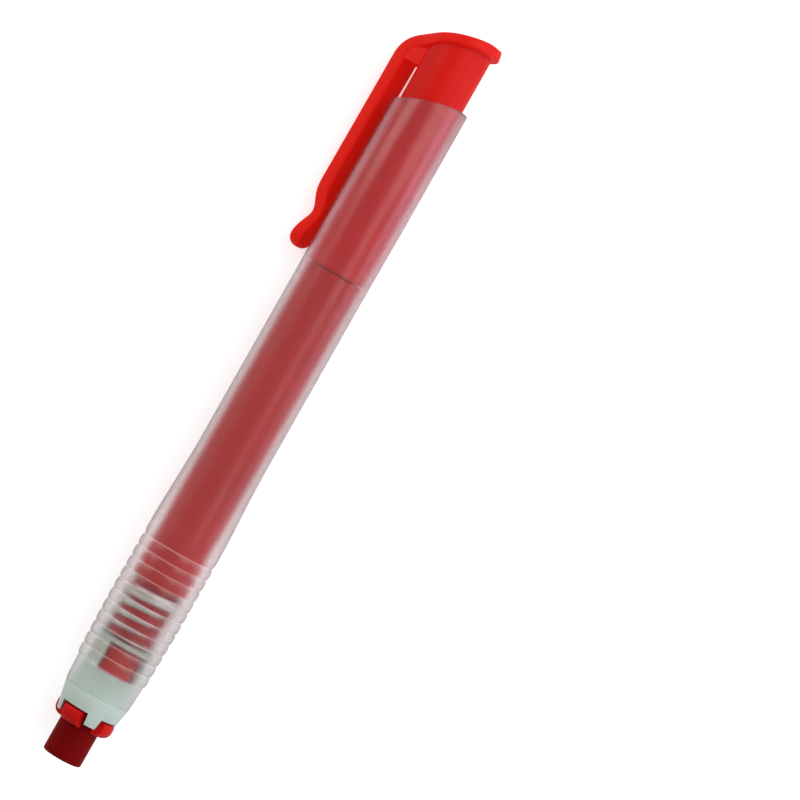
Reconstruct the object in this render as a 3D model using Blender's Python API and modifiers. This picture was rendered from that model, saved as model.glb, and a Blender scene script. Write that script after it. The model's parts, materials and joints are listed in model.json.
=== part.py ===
"""A retractable eraser pen: a push button with a clip drives a four-jawed feed tube through a clear barrel.

Every piece is modelled about the pen's own axis: the eraser's face is at height 0, the button is at the top,
and the clip points along +X. At the end the whole pen is laid on its side, with its tip towards +X, so that
it lies on the grip rings and on the clip's tail. Pressing the button slides the tube forward, and its jaws
open in front of the nose.
"""
import math

import bmesh
import bpy
from mathutils import Matrix, Vector

MM = 0.001

# Fits between the pieces.
ROD_FIT = 0.15 * MM
RUNNING_FIT = 0.2 * MM
FACE_GAP = 0.3 * MM

# Eraser rod.
ROD_DIAMETER = 6.7 * MM
ROD_LENGTH = 100.0 * MM
ROD_EDGE = 0.35 * MM
ROD_SHOWN = 5.9 * MM

# Jaws, the slit front end of the feed tube.
JAW_COUNT = 4
JAW_WALL = 0.35 * MM
JAW_WIDTH = 3.4 * MM
JAW_LENGTH = 8.45 * MM
EAR_RADIUS = 5.15 * MM
EAR_LENGTH = 2.6 * MM
EAR_ROUNDING = 1.5 * MM

# Feed tube, from the spring's shoulder to the button's sleeve.
TUBE_DIAMETER = 8.94 * MM
TUBE_BODY_LENGTH = 57.2 * MM
SPIGOT_LENGTH = 10.0 * MM

# Nose bush: notched ring in front of the barrel, windowed cage inside it.
EAR_PROUD = 1.0 * MM
TOOTH_TIP_RADIUS = 4.7 * MM
NOTCH_TOP_RADIUS = 5.05 * MM
RING_RADIUS = 5.62 * MM
RING_LENGTH = 2.9 * MM
NOTCH_SIDE_PLAY = 0.85 * MM
JAW_SWING_ROOM = 0.3 * MM
CAGE_LENGTH = 9.55 * MM
CAGE_END_RING = 0.6 * MM
WINDOW_COUNT = 3
WINDOW_LENGTH = 4.8 * MM
PILLAR_ANGLE = math.radians(32.0)
PILLAR_TURN = math.radians(73.0)
SNAP_RIB_HEIGHT = 0.12 * MM
SNAP_RIB_LENGTH = 0.6 * MM
SNAP_RIB_PLACE = 3.25 * MM

# Barrel.
BARREL_LENGTH = 107.0 * MM
NOSE_BORE = 10.0 * MM
NOSE_BORE_LENGTH = 30.0 * MM
BORE_TAPER_LENGTH = 4.0 * MM
FRONT_EDGE_RADIUS = 5.66 * MM
FRONT_TAPER_LENGTH = 4.35 * MM
RING_COUNT = 11
RING_PITCH = 1.98 * MM
RING_CREST_RADIUS = 6.38 * MM
RING_DEPTH = 0.28 * MM
FLARE_RADIUS = 6.34 * MM
FLARE_LENGTH = 17.0 * MM
WAIST_RADIUS = 5.88 * MM
WAIST_LENGTH = 30.0 * MM
TOP_RADIUS = 5.98 * MM
RIM_SLANT = math.radians(16.9)
RIM_EDGE = 0.25 * MM

# Push button. The roof's height is over the barrel's rim, on the axis, and its solid head is under the roof.
SLEEVE_DIAMETER = 9.86 * MM
SLEEVE_WALL = 0.73 * MM
ROOF_HEIGHT = 12.3 * MM
HEAD_LENGTH = 10.55 * MM
ROOF_DOME_RADIUS = 50.0 * MM
ROOF_PLAN_RADIUS = 5.78 * MM
ROOF_SIDE_PLACE = 3.2 * MM
ROOF_THICKNESS = 1.75 * MM
ROOF_CROWN = 0.35 * MM
LIP_ROUNDING = 1.5 * MM
CORNER_RADIUS = 5.0 * MM
CORNER_STRAIGHT = 0.8 * MM
WEB_WIDTH = 4.2 * MM
WEB_RISE = 0.75 * MM

# Clip.
CLIP_LENGTH = 34.0 * MM
CLIP_ROOT_WIDTH = 5.5 * MM
CLIP_TAIL_WIDTH = 4.4 * MM
CLIP_THICKNESS = 2.35 * MM
CLIP_CORNER = 0.55 * MM
CLIP_OUTER = 9.38 * MM
CLIP_SPLAY = 0.5 * MM
CLIP_NECK_PLACE = 6.3 * MM
CLIP_NECK_REACH = 4.5 * MM
CLIP_NECK_DIP = 1.5 * MM
CLIP_NECK_REST = 0.25 * MM
TAIL_ROUNDING = 2.0 * MM

# Spring, held between the cage's end and the tube's shoulder.
SPRING_LENGTH = 10.0 * MM
WIRE_DIAMETER = 0.6 * MM
SPRING_RADIUS = 4.45 * MM
SPRING_TURNS = 4
END_TURNS = 0.5
END_PITCH = 1.2 * MM
POINTS_PER_TURN = 10

# Facets round the axis. The barrel is turned so that the pen lies still on a flat and on its clip.
SEGMENTS = 40
BARREL_SEGMENTS = 24
LYING_TURN = math.radians(-65.1)
MERGE = 0.00001

# Heights that follow from the sizes above.
JAW_ROOT = ROD_SHOWN + JAW_LENGTH
TUBE_FRONT = JAW_ROOT + FACE_GAP
TOOTH_TIP = ROD_SHOWN + EAR_PROUD
NOTCH_TOP = ROD_SHOWN + EAR_LENGTH + FACE_GAP
RING_TOP = NOTCH_TOP + RING_LENGTH
BARREL_FRONT = RING_TOP + FACE_GAP
CAGE_END = RING_TOP + CAGE_LENGTH
SHOULDER = CAGE_END + SPRING_LENGTH
SPIGOT_START = SHOULDER + TUBE_BODY_LENGTH
SPIGOT_END = SPIGOT_START + SPIGOT_LENGTH
SLEEVE_END = SPIGOT_START + FACE_GAP
BARREL_TOP = BARREL_FRONT + BARREL_LENGTH
ROOF_ON_AXIS = BARREL_TOP + ROOF_HEIGHT
SLEEVE_BORE_TOP = ROOF_ON_AXIS - HEAD_LENGTH

# Radii that follow from the sizes above.
ROD_RADIUS = ROD_DIAMETER / 2
BORE_RADIUS = ROD_RADIUS + ROD_FIT
NECK_RADIUS = BORE_RADIUS + JAW_WALL
TUBE_RADIUS = TUBE_DIAMETER / 2
SLEEVE_RADIUS = SLEEVE_DIAMETER / 2
SLEEVE_BORE_RADIUS = SLEEVE_RADIUS - SLEEVE_WALL
SPIGOT_RADIUS = SLEEVE_BORE_RADIUS - RUNNING_FIT
BUSH_BORE_RADIUS = NECK_RADIUS + JAW_SWING_ROOM
NOSE_BORE_RADIUS = NOSE_BORE / 2
CAGE_RADIUS = NOSE_BORE_RADIUS - RUNNING_FIT
BARREL_BORE_RADIUS = SLEEVE_RADIUS + RUNNING_FIT
JAW_HINGE_RADIUS = BORE_RADIUS + JAW_WALL / 2

# The roof slants as the barrel's rim does, so its dome peaks beyond the far lip.
ROOF_PEAK_OFFSET = -ROOF_DOME_RADIUS * math.sin(RIM_SLANT)
ROOF_PEAK = ROOF_ON_AXIS + ROOF_DOME_RADIUS * (1 - math.cos(RIM_SLANT))

# The corner bends on from the dome until it runs straight down, and the clip hangs from its end.
CORNER_BEND = math.asin((CLIP_OUTER - CORNER_RADIUS - ROOF_PEAK_OFFSET) / (ROOF_DOME_RADIUS - CORNER_RADIUS))
CORNER_CENTRE = ROOF_PEAK - ROOF_DOME_RADIUS + (ROOF_DOME_RADIUS - CORNER_RADIUS) * math.cos(CORNER_BEND)
CORNER_END = CORNER_CENTRE - CORNER_STRAIGHT
SLIT_TOP = CORNER_END + WEB_RISE
CLIP_ROOT = CORNER_END - FACE_GAP
CLIP_TAIL_END = CLIP_ROOT - CLIP_LENGTH
CLIP_NECK_HEIGHT = CLIP_TAIL_END + CLIP_NECK_PLACE

for old in list(bpy.data.objects):
    bpy.data.objects.remove(old, do_unlink=True)

pieces = bpy.data.collections.new("eraser_pen")
cutters = bpy.data.collections.new("cutters")
bpy.context.scene.collection.children.link(pieces)
bpy.context.scene.collection.children.link(cutters)


def plastic(name, colour, roughness, transmission=0.0, metallic=0.0):
    """A Principled material, its colour in linear values."""
    material = bpy.data.materials.new(name)
    material.use_nodes = True
    shader = material.node_tree.nodes["Principled BSDF"]
    shader.inputs["Base Color"].default_value = (*colour, 1.0)
    shader.inputs["Roughness"].default_value = roughness
    shader.inputs["Metallic"].default_value = metallic
    shader.inputs["Transmission Weight"].default_value = transmission
    material.diffuse_color = (*colour, 1.0)
    return material


RED = plastic("red_plastic", (0.75, 0.01, 0.005), 0.35)
FROSTED = plastic("frosted_plastic", (0.85, 0.82, 0.82), 0.45, transmission=0.8)
WHITE = plastic("white_plastic", (0.72, 0.8, 0.76), 0.4)
STEEL = plastic("spring_steel", (0.55, 0.56, 0.56), 0.3, metallic=1.0)
RUBBER = plastic("red_eraser", (0.22, 0.006, 0.01), 0.6)

lay = bpy.data.objects.new("pen_axis", None)
pieces.objects.link(lay)


def smooth(mesh):
    mesh.shade_smooth()
    mesh.set_sharp_from_angle(angle=math.radians(35))


def add(name, mesh, material):
    """An object in the pen's collection, carried by the pen's axis."""
    obj = bpy.data.objects.new(name, mesh)
    mesh.materials.clear()
    mesh.materials.append(material)
    pieces.objects.link(obj)
    obj.parent = lay
    return obj


def evaluated_mesh(obj):
    """The object's mesh with its modifiers, in the pen's frame."""
    bpy.context.view_layer.update()
    graph = bpy.context.evaluated_depsgraph_get()
    mesh = bpy.data.meshes.new_from_object(obj.evaluated_get(graph), depsgraph=graph)
    mesh.transform(obj.matrix_world)
    return mesh


def turned(name, profile, material=None, segments=SEGMENTS):
    """A solid of revolution about Z from (radius, height) points that run down its outer side.

    A profile that ends on the axis is an open line; any other profile is a closed loop.
    """
    mesh = bpy.data.meshes.new(name)
    bm = bmesh.new()
    verts = [bm.verts.new((radius, 0, height)) for radius, height in profile]
    for start, end in zip(verts, verts[1:]):
        bm.edges.new((start, end))
    if profile[0][0] > 0:
        bm.edges.new((verts[-1], verts[0]))
    bm.to_mesh(mesh)
    bm.free()
    obj = bpy.data.objects.new(name, mesh)
    cutters.objects.link(obj)
    screw = obj.modifiers.new("turn", "SCREW")
    screw.steps = screw.render_steps = segments
    screw.use_merge_vertices = True
    screw.merge_threshold = MERGE
    solid = evaluated_mesh(obj)
    bpy.data.objects.remove(obj, do_unlink=True)
    solid.name = name
    smooth(solid)
    return solid if material is None else add(name, solid, material)


def cutter(name, mesh, matrix=None):
    """A hidden tool for a Boolean modifier, carried by the pen's axis as the pieces are."""
    obj = bpy.data.objects.new(name, mesh)
    cutters.objects.link(obj)
    obj.parent = lay
    obj.hide_render = True
    obj.display_type = "WIRE"
    if matrix is not None:
        obj.matrix_local = matrix
    return obj


def box(name, low, high):
    """A box between two corners."""
    mesh = bpy.data.meshes.new(name)
    bm = bmesh.new()
    size = Vector(high) - Vector(low)
    middle = (Vector(high) + Vector(low)) / 2
    bmesh.ops.create_cube(bm, size=1, matrix=Matrix.Translation(middle) @ Matrix.Diagonal((*size, 1)))
    bm.to_mesh(mesh)
    bm.free()
    return mesh


def welded(mesh):
    """The mesh with its loose caps joined on and its faces turned outwards."""
    bm = bmesh.new()
    bm.from_mesh(mesh)
    bmesh.ops.remove_doubles(bm, verts=bm.verts, dist=MERGE)
    bmesh.ops.recalc_face_normals(bm, faces=bm.faces)
    bm.to_mesh(mesh)
    bm.free()
    return mesh


def prism(name, outline, thickness, matrix):
    """A flat outline with a thickness, half of it on each side of its plane, set in place by the matrix."""
    shape = bpy.data.curves.new(name, "CURVE")
    shape.dimensions = "2D"
    shape.fill_mode = "BOTH"
    shape.extrude = thickness / 2
    run = shape.splines.new("POLY")
    run.use_cyclic_u = True
    run.points.add(len(outline) - 1)
    for point, (x, y) in zip(run.points, outline):
        point.co = (x, y, 0, 1)
    obj = bpy.data.objects.new(name, shape)
    cutters.objects.link(obj)
    obj.matrix_world = matrix
    mesh = evaluated_mesh(obj)
    bpy.data.objects.remove(obj, do_unlink=True)
    return welded(mesh)


def combine(obj, tool, operation):
    step = obj.modifiers.new(operation.lower(), "BOOLEAN")
    step.operation = operation
    step.solver = "EXACT"
    step.object = tool


def arc(centre, radius, start, end, steps):
    """Points on an arc in a plane; angles in degrees from the first axis towards the second."""
    points = []
    for i in range(steps + 1):
        angle = math.radians(start + (end - start) * i / steps)
        points.append((centre[0] + radius * math.cos(angle), centre[1] + radius * math.sin(angle)))
    return points


def lofted(name, stations, material=None, crown=0.0):
    """A strip of rounded rectangular section through stations in the XZ plane.

    A station is (x, z, tilt, half width, thickness, corner); tilt is the slope of the strip's run below +X.
    The crown is how far the upper face falls away at the roof's full half width.
    """
    corner_steps = 2
    bm = bmesh.new()
    loops = []
    for x, z, tilt, half_width, thickness, corner in stations:
        corner = min(corner, half_width * 0.9, thickness * 0.45)
        normal = Vector((math.sin(tilt), 0, math.cos(tilt)))
        middle = Vector((x, 0, z))
        loop = []
        for quarter in range(4):
            side = 1 if quarter in (0, 3) else -1
            rise = 1 if quarter in (0, 1) else -1
            for i in range(corner_steps + 1):
                angle = math.pi / 2 * (quarter + i / corner_steps)
                across = side * (half_width - corner) + corner * math.cos(angle)
                up = rise * (thickness / 2 - corner) + corner * math.sin(angle)
                loop.append((across, up, rise))
            if quarter == 0:
                loop += [((half_width - corner) * part, thickness / 2, 1) for part in (0.5, 0, -0.5)]
        ring = []
        for across, up, rise in loop:
            if rise > 0:
                up -= crown * (across / ROOF_PLAN_RADIUS) ** 2
            ring.append(bm.verts.new(middle + normal * up + Vector((0, across, 0))))
        loops.append(ring)
    count = len(loops[0])
    for near, far in zip(loops, loops[1:]):
        for i in range(count):
            j = (i + 1) % count
            bm.faces.new((near[i], near[j], far[j], far[i]))
    bm.faces.new(loops[0])
    bm.faces.new(list(reversed(loops[-1])))
    bmesh.ops.recalc_face_normals(bm, faces=bm.faces)
    mesh = bpy.data.meshes.new(name)
    bm.to_mesh(mesh)
    bm.free()
    smooth(mesh)
    return mesh if material is None else add(name, mesh, material)


def eraser_rod():
    """The plain rod, with a rounded edge at each end."""
    front = arc((ROD_RADIUS - ROD_EDGE, ROD_EDGE), ROD_EDGE, 0, -90, 3)
    back = arc((ROD_RADIUS - ROD_EDGE, ROD_LENGTH - ROD_EDGE), ROD_EDGE, 90, 0, 3)
    return turned("eraser_rod", [(0, ROD_LENGTH)] + back + front + [(0, 0)], RUBBER)


def jaws():
    """Four jaws: a turned ring with a round-edged head, trimmed to one finger, and copied round the axis."""
    ear_top = ROD_SHOWN + EAR_LENGTH
    edge = arc((EAR_RADIUS - EAR_ROUNDING, ROD_SHOWN + EAR_ROUNDING), EAR_ROUNDING, 0, -90, 4)
    profile = [(NECK_RADIUS, JAW_ROOT), (NECK_RADIUS, ear_top), (EAR_RADIUS, ear_top)] + edge
    profile += [(BORE_RADIUS, ROD_SHOWN), (BORE_RADIUS, JAW_ROOT)]
    finger = add("jaw_1", turned("jaw", profile), RED)
    half = JAW_WIDTH / 2
    keep = box("jaw_side_trim", (0, -half, ROD_SHOWN - MM), (EAR_RADIUS + MM, half, JAW_ROOT + MM))
    combine(finger, cutter("jaw_side_trim", keep), "INTERSECT")
    mesh = evaluated_mesh(finger)
    bpy.data.objects.remove(finger, do_unlink=True)
    hinge = Vector((JAW_HINGE_RADIUS, 0, JAW_ROOT))
    mesh.transform(Matrix.Translation(-hinge))
    smooth(mesh)
    for i in range(JAW_COUNT):
        turn = Matrix.Rotation(math.tau * i / JAW_COUNT, 4, "Z")
        jaw = add(f"jaw_{i + 1}", mesh, RED)
        jaw.matrix_local = turn @ Matrix.Translation(hinge)


def feed_tube():
    """The tube that carries the rod: thin neck, spring shoulder, long body and a spigot for the button."""
    profile = [
        (SPIGOT_RADIUS, SPIGOT_END),
        (SPIGOT_RADIUS, SPIGOT_START),
        (TUBE_RADIUS, SPIGOT_START),
        (TUBE_RADIUS, SHOULDER),
        (NECK_RADIUS, SHOULDER),
        (NECK_RADIUS, TUBE_FRONT),
        (BORE_RADIUS, TUBE_FRONT),
        (BORE_RADIUS, SPIGOT_END),
    ]
    return turned("feed_tube", profile, RED)


def nose_bush():
    """The white bush: a notched ring in front, and behind it a cage with windows that the spring sits on."""
    rib_low = RING_TOP + SNAP_RIB_PLACE
    rib_high = rib_low + SNAP_RIB_LENGTH
    rib_radius = CAGE_RADIUS + SNAP_RIB_HEIGHT
    profile = [
        (CAGE_RADIUS, CAGE_END),
        (CAGE_RADIUS, rib_high),
        (rib_radius, rib_high - SNAP_RIB_LENGTH / 3),
        (rib_radius, rib_low + SNAP_RIB_LENGTH / 3),
        (CAGE_RADIUS, rib_low),
        (CAGE_RADIUS, RING_TOP),
        (RING_RADIUS, RING_TOP),
        (NOTCH_TOP_RADIUS, NOTCH_TOP),
        (TOOTH_TIP_RADIUS, TOOTH_TIP),
        (BUSH_BORE_RADIUS, TOOTH_TIP),
        (BUSH_BORE_RADIUS, CAGE_END),
    ]
    bush = turned("nose_bush", profile, WHITE)
    half = JAW_WIDTH / 2 + NOTCH_SIDE_PLAY
    notch = box("notch_cut", (0, -half, TOOTH_TIP - MM), (RING_RADIUS + MM, half, NOTCH_TOP))
    for i in range(JAW_COUNT):
        turn = Matrix.Rotation(math.tau * i / JAW_COUNT, 4, "Z")
        combine(bush, cutter(f"notch_cut_{i + 1}", notch, turn), "DIFFERENCE")
    high = CAGE_END - CAGE_END_RING
    low = high - WINDOW_LENGTH
    window_angle = math.tau / WINDOW_COUNT - PILLAR_ANGLE
    for i in range(WINDOW_COUNT):
        middle = PILLAR_TURN + math.tau * (i + 0.5) / WINDOW_COUNT
        wedge = sector("window_cut", middle, window_angle, CAGE_RADIUS + MM, low, high)
        combine(bush, cutter(f"window_cut_{i + 1}", wedge), "DIFFERENCE")
    return bush


def sector(name, middle, angle, radius, low, high):
    """An upright wedge from the axis outward."""
    rim = arc((0, 0), radius, math.degrees(middle - angle / 2), math.degrees(middle + angle / 2), 6)
    return prism(name, [(0, 0)] + rim, high - low, Matrix.Translation((0, 0, (low + high) / 2)))


def ease(t):
    """A smooth step from 0 to 1."""
    return t * t * (3 - 2 * t)


def barrel():
    """The clear barrel: grip rings, a flare that narrows to the waist, and a slanted rim at the top."""
    rings_low = BARREL_FRONT + FRONT_TAPER_LENGTH
    rings_high = rings_low + RING_COUNT * RING_PITCH
    flare_low = rings_high + RING_PITCH / 2
    flare_high = flare_low + FLARE_LENGTH
    waist_high = flare_high + WAIST_LENGTH
    top = BARREL_TOP + TOP_RADIUS * math.tan(RIM_SLANT) + MM
    groove_radius = RING_CREST_RADIUS - RING_DEPTH
    profile = [(TOP_RADIUS, top), (TOP_RADIUS, waist_high + WAIST_LENGTH / 2), (WAIST_RADIUS, waist_high)]
    for i in range(6):
        t = ease(i / 5)
        radius = WAIST_RADIUS + (FLARE_RADIUS - WAIST_RADIUS) * t
        profile.append((radius, flare_high - FLARE_LENGTH * i / 5))
    for i in range(RING_COUNT):
        high = rings_high - i * RING_PITCH
        profile.append((groove_radius, high))
        profile.append((groove_radius + RING_DEPTH * 0.8, high - RING_PITCH * 0.22))
        profile.append((RING_CREST_RADIUS, high - RING_PITCH * 0.5))
        profile.append((groove_radius + RING_DEPTH * 0.8, high - RING_PITCH * 0.78))
    profile.append((groove_radius, rings_low))
    for i in range(1, 5):
        t = i / 4
        radius = groove_radius + (FRONT_EDGE_RADIUS - groove_radius) * t ** 2.4
        profile.append((radius, rings_low - FRONT_TAPER_LENGTH * t))
    groove_low = RING_TOP + SNAP_RIB_PLACE - FACE_GAP
    groove_high = groove_low + SNAP_RIB_LENGTH + 2 * FACE_GAP
    snap_radius = NOSE_BORE_RADIUS + SNAP_RIB_HEIGHT
    bore_step = BARREL_FRONT + NOSE_BORE_LENGTH
    profile += [
        (NOSE_BORE_RADIUS, BARREL_FRONT),
        (NOSE_BORE_RADIUS, groove_low),
        (snap_radius, groove_low + FACE_GAP / 2),
        (snap_radius, groove_high - FACE_GAP / 2),
        (NOSE_BORE_RADIUS, groove_high),
        (NOSE_BORE_RADIUS, bore_step),
        (BARREL_BORE_RADIUS, bore_step + BORE_TAPER_LENGTH),
        (BARREL_BORE_RADIUS, top),
    ]
    tube = turned("barrel_blank", profile, FROSTED, BARREL_SEGMENTS)
    tube.data.transform(Matrix.Rotation(LYING_TURN + math.pi / BARREL_SEGMENTS, 4, "Z"))
    slant = Matrix.Translation((0, 0, BARREL_TOP)) @ Matrix.Rotation(RIM_SLANT, 4, "Y")
    reach = 2 * TOP_RADIUS
    above = box("rim_cut", (-reach, -reach, 0), (reach, reach, reach))
    combine(tube, cutter("rim_cut", above, slant), "DIFFERENCE")
    mesh = evaluated_mesh(tube)
    bpy.data.objects.remove(tube, do_unlink=True)
    round_rim(mesh, slant)
    return add("barrel", mesh, FROSTED)


def round_rim(mesh, slant):
    """Rounds the two edges of the slanted rim."""
    to_rim = slant.inverted()
    bm = bmesh.new()
    bm.from_mesh(mesh)
    near = 0.01 * MM
    rim = [e for e in bm.edges if all(abs((to_rim @ v.co).z) < near for v in e.verts)]
    edges = [e for e in rim if e.calc_face_angle(0) > math.radians(45)]
    bmesh.ops.bevel(bm, geom=edges, offset=RIM_EDGE, segments=2, affect="EDGES", profile=0.5,
                    clamp_overlap=True)
    bm.to_mesh(mesh)
    bm.free()
    smooth(mesh)


def roof_line(turn):
    """A point on the roof's upper outline, where it has turned by this angle: the dome, then the corner."""
    if turn <= CORNER_BEND:
        x = ROOF_PEAK_OFFSET + ROOF_DOME_RADIUS * math.sin(turn)
        z = ROOF_PEAK - ROOF_DOME_RADIUS * (1 - math.cos(turn))
        return x, z
    x = CLIP_OUTER - CORNER_RADIUS * (1 - math.sin(turn))
    return x, CORNER_CENTRE + CORNER_RADIUS * math.cos(turn)


def roof_turn(x):
    """How far the dome has turned where its outline is at x."""
    return math.asin((x - ROOF_PEAK_OFFSET) / ROOF_DOME_RADIUS)


def roof_half_width(x):
    """Half the roof's width at x: a disc, then straight sides that draw in to the clip's width."""
    if x <= ROOF_SIDE_PLACE:
        return math.sqrt(max(ROOF_PLAN_RADIUS ** 2 - x * x, 0))
    start = math.sqrt(ROOF_PLAN_RADIUS ** 2 - ROOF_SIDE_PLACE ** 2)
    t = min((x - ROOF_SIDE_PLACE) / (CLIP_OUTER - CLIP_THICKNESS / 2 - ROOF_SIDE_PLACE), 1)
    return start + (CLIP_ROOT_WIDTH / 2 - start) * math.sin(t * math.pi / 2)


def roof_thickness(x):
    """Even over the sleeve, and the clip's own thickness at the corner."""
    return ROOF_THICKNESS + (CLIP_THICKNESS - ROOF_THICKNESS) * ease(min(max(x / CLIP_OUTER, 0), 1))


def roof_stations():
    """The roof's sections from the rounded far lip, over the dome and round the corner."""
    stations = []
    x_start = -ROOF_PLAN_RADIUS
    turns = []
    for angle in (7, 15, 26, 40, 55, 70, 85, 100, 115, 125):
        x = x_start * math.cos(math.radians(angle))
        turns.append(roof_turn(x))
    first_corner = turns[-1]
    corner_count = 8
    for i in range(1, corner_count + 1):
        turns.append(first_corner + (math.pi / 2 - first_corner) * i / corner_count)
    for turn in turns:
        x, z = roof_line(turn)
        thickness = roof_thickness(x)
        mid_x = x - math.sin(turn) * thickness / 2
        mid_z = z - math.cos(turn) * thickness / 2
        depth = min((x + ROOF_PLAN_RADIUS) / LIP_ROUNDING, 1)
        thickness *= math.sqrt(1 - (1 - depth) ** 2)
        stations.append((mid_x, mid_z, turn, roof_half_width(x), thickness, CLIP_CORNER))
    middle = CLIP_OUTER - CLIP_THICKNESS / 2
    stations.append((middle, CORNER_END, math.pi / 2, CLIP_ROOT_WIDTH / 2, CLIP_THICKNESS, CLIP_CORNER))
    return stations


def push_button():
    """The cap: a lipped roof, a hollow sleeve under it and a web that carries the clip's corner."""
    roof = lofted("push_button", roof_stations(), RED, ROOF_CROWN)
    bm = bmesh.new()
    length = ROOF_PEAK - SLEEVE_END
    middle = Matrix.Translation((0, 0, SLEEVE_END + length / 2))
    bmesh.ops.create_cone(bm, cap_ends=True, segments=SEGMENTS, radius1=SLEEVE_RADIUS, radius2=SLEEVE_RADIUS,
                          depth=length, matrix=middle)
    top = [v for v in bm.verts if v.co.z > SLEEVE_END + length / 2]
    for vert in top:
        vert.co.z = roof_line(roof_turn(vert.co.x))[1] - roof_thickness(vert.co.x) / 2
    cap = [f for f in bm.faces if all(v in top for v in f.verts)]
    bmesh.ops.poke(bm, faces=cap)
    stem = bpy.data.meshes.new("sleeve")
    bm.to_mesh(stem)
    bm.free()
    combine(roof, cutter("sleeve_join", stem), "UNION")
    combine(roof, cutter("web_join", web()), "UNION")
    bore = turned("sleeve_bore", [(0, SLEEVE_BORE_TOP), (SLEEVE_BORE_RADIUS, SLEEVE_BORE_TOP),
                                  (SLEEVE_BORE_RADIUS, SLEEVE_END - MM), (0, SLEEVE_END - MM)])
    combine(roof, cutter("sleeve_bore", bore), "DIFFERENCE")
    mesh = evaluated_mesh(roof)
    bpy.data.objects.remove(roof, do_unlink=True)
    smooth(mesh)
    return add("push_button", mesh, RED)


def web():
    """The web under the roof, from inside the sleeve's wall to inside the clip's corner."""
    inner = math.sqrt(SLEEVE_RADIUS ** 2 - (WEB_WIDTH / 2) ** 2) - SLEEVE_WALL
    outer = CLIP_OUTER - CLIP_THICKNESS / 2
    outline = [(inner, SLIT_TOP), (outer, SLIT_TOP)]
    last = math.radians(75)
    first = roof_turn(inner)
    for i in range(5):
        turn = last + (first - last) * i / 4
        x, z = roof_line(turn)
        depth = roof_thickness(x) / 2
        outline.append((x - math.sin(turn) * depth, z - math.cos(turn) * depth))
    return prism("web", outline, WEB_WIDTH, Matrix.Rotation(math.pi / 2, 4, "X"))


def clip_faces(height):
    """The clip's outer and inner face at a height: a slightly splayed arm with one drawn-in neck.

    The neck's inner side rests near the barrel, so it comes in less than the outer side does.
    """
    splay = CLIP_SPLAY * (CLIP_ROOT - height) / CLIP_LENGTH
    outer = CLIP_OUTER + splay
    inner = outer - CLIP_THICKNESS
    offset = abs(height - CLIP_NECK_HEIGHT) / CLIP_NECK_REACH
    if offset < 1:
        share = (1 + math.cos(math.pi * offset)) / 2
        outer -= CLIP_NECK_DIP * share
        inner -= (inner - TOP_RADIUS - CLIP_NECK_REST) * share
    return outer, inner


def clip_middle(height):
    return sum(clip_faces(height)) / 2


def clip():
    """The clip's arm, hung from its root on a living hinge, with a round tail."""
    arm_end = CLIP_NECK_HEIGHT + CLIP_NECK_REACH
    arm_steps = 5
    heights = [CLIP_ROOT + (arm_end - CLIP_ROOT) * i / arm_steps for i in range(arm_steps + 1)]
    bend_steps = 14
    bend_end = CLIP_TAIL_END + TAIL_ROUNDING
    heights += [arm_end + (bend_end - arm_end) * i / bend_steps for i in range(1, bend_steps + 1)]
    heights += [CLIP_TAIL_END + TAIL_ROUNDING * (1 - math.cos(math.radians(a))) for a in (70, 50, 33, 18, 6)]
    stations = []
    step = 0.05 * MM
    for height in heights:
        outer, inner = clip_faces(height)
        slope = (clip_middle(height - step) - clip_middle(height + step)) / (2 * step)
        along = (CLIP_ROOT - height) / CLIP_LENGTH
        full_width = CLIP_ROOT_WIDTH + (CLIP_TAIL_WIDTH - CLIP_ROOT_WIDTH) * along
        depth = min((height - CLIP_TAIL_END) / TAIL_ROUNDING, 1)
        width = full_width / 2 * math.sqrt(1 - (1 - depth) ** 2)
        depth = min((height - CLIP_TAIL_END) / (CLIP_THICKNESS / 2), 1)
        thickness = (outer - inner) * math.sqrt(1 - (1 - depth) ** 2)
        tilt = math.pi / 2 - math.atan(slope)
        stations.append(((outer + inner) / 2, height, tilt, width, thickness, CLIP_CORNER))
    arm = lofted("clip", stations, RED)
    hinge = Vector((clip_middle(CLIP_ROOT), 0, CLIP_ROOT))
    arm.data.transform(Matrix.Translation(-hinge))
    arm.location = hinge
    return arm


def spring():
    """The compression spring: one open helix between the cage and the tube's shoulder, closer at its ends."""
    low = CAGE_END + FACE_GAP / 2 + WIRE_DIAMETER / 2
    high = SHOULDER - FACE_GAP / 2 - WIRE_DIAMETER / 2
    turns = SPRING_TURNS + 2 * END_TURNS
    rise = high - low
    open_pitch = (rise - 2 * END_TURNS * END_PITCH) / SPRING_TURNS
    count = round(turns * POINTS_PER_TURN)
    points = []
    for i in range(count + 1):
        turn = i / POINTS_PER_TURN
        if turn <= END_TURNS:
            height = turn * END_PITCH
        elif turn >= turns - END_TURNS:
            height = rise - (turns - turn) * END_PITCH
        else:
            height = END_TURNS * END_PITCH + (turn - END_TURNS) * open_pitch
        angle = math.tau * turn
        across = (SPRING_RADIUS * math.cos(angle), SPRING_RADIUS * math.sin(angle))
        points.append(Vector((*across, low + height)))
    points.insert(0, points[0] + (points[0] - points[1]).normalized() * WIRE_DIAMETER)
    points.append(points[-1] + (points[-1] - points[-2]).normalized() * WIRE_DIAMETER)
    print("spring: least gap to itself", round(least_gap(points) / MM, 3), "mm")
    line = bpy.data.curves.new("spring_wire", "CURVE")
    line.dimensions = "3D"
    line.bevel_depth = WIRE_DIAMETER / 2
    line.bevel_resolution = 1
    line.use_fill_caps = True
    run = line.splines.new("POLY")
    run.points.add(len(points) - 1)
    for point, at in zip(run.points, points):
        point.co = (*at, 1)
    wire = bpy.data.objects.new("spring_wire", line)
    cutters.objects.link(wire)
    mesh = evaluated_mesh(wire)
    bpy.data.objects.remove(wire, do_unlink=True)
    welded(mesh)
    smooth(mesh)
    return add("spring", mesh, STEEL)


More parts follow.
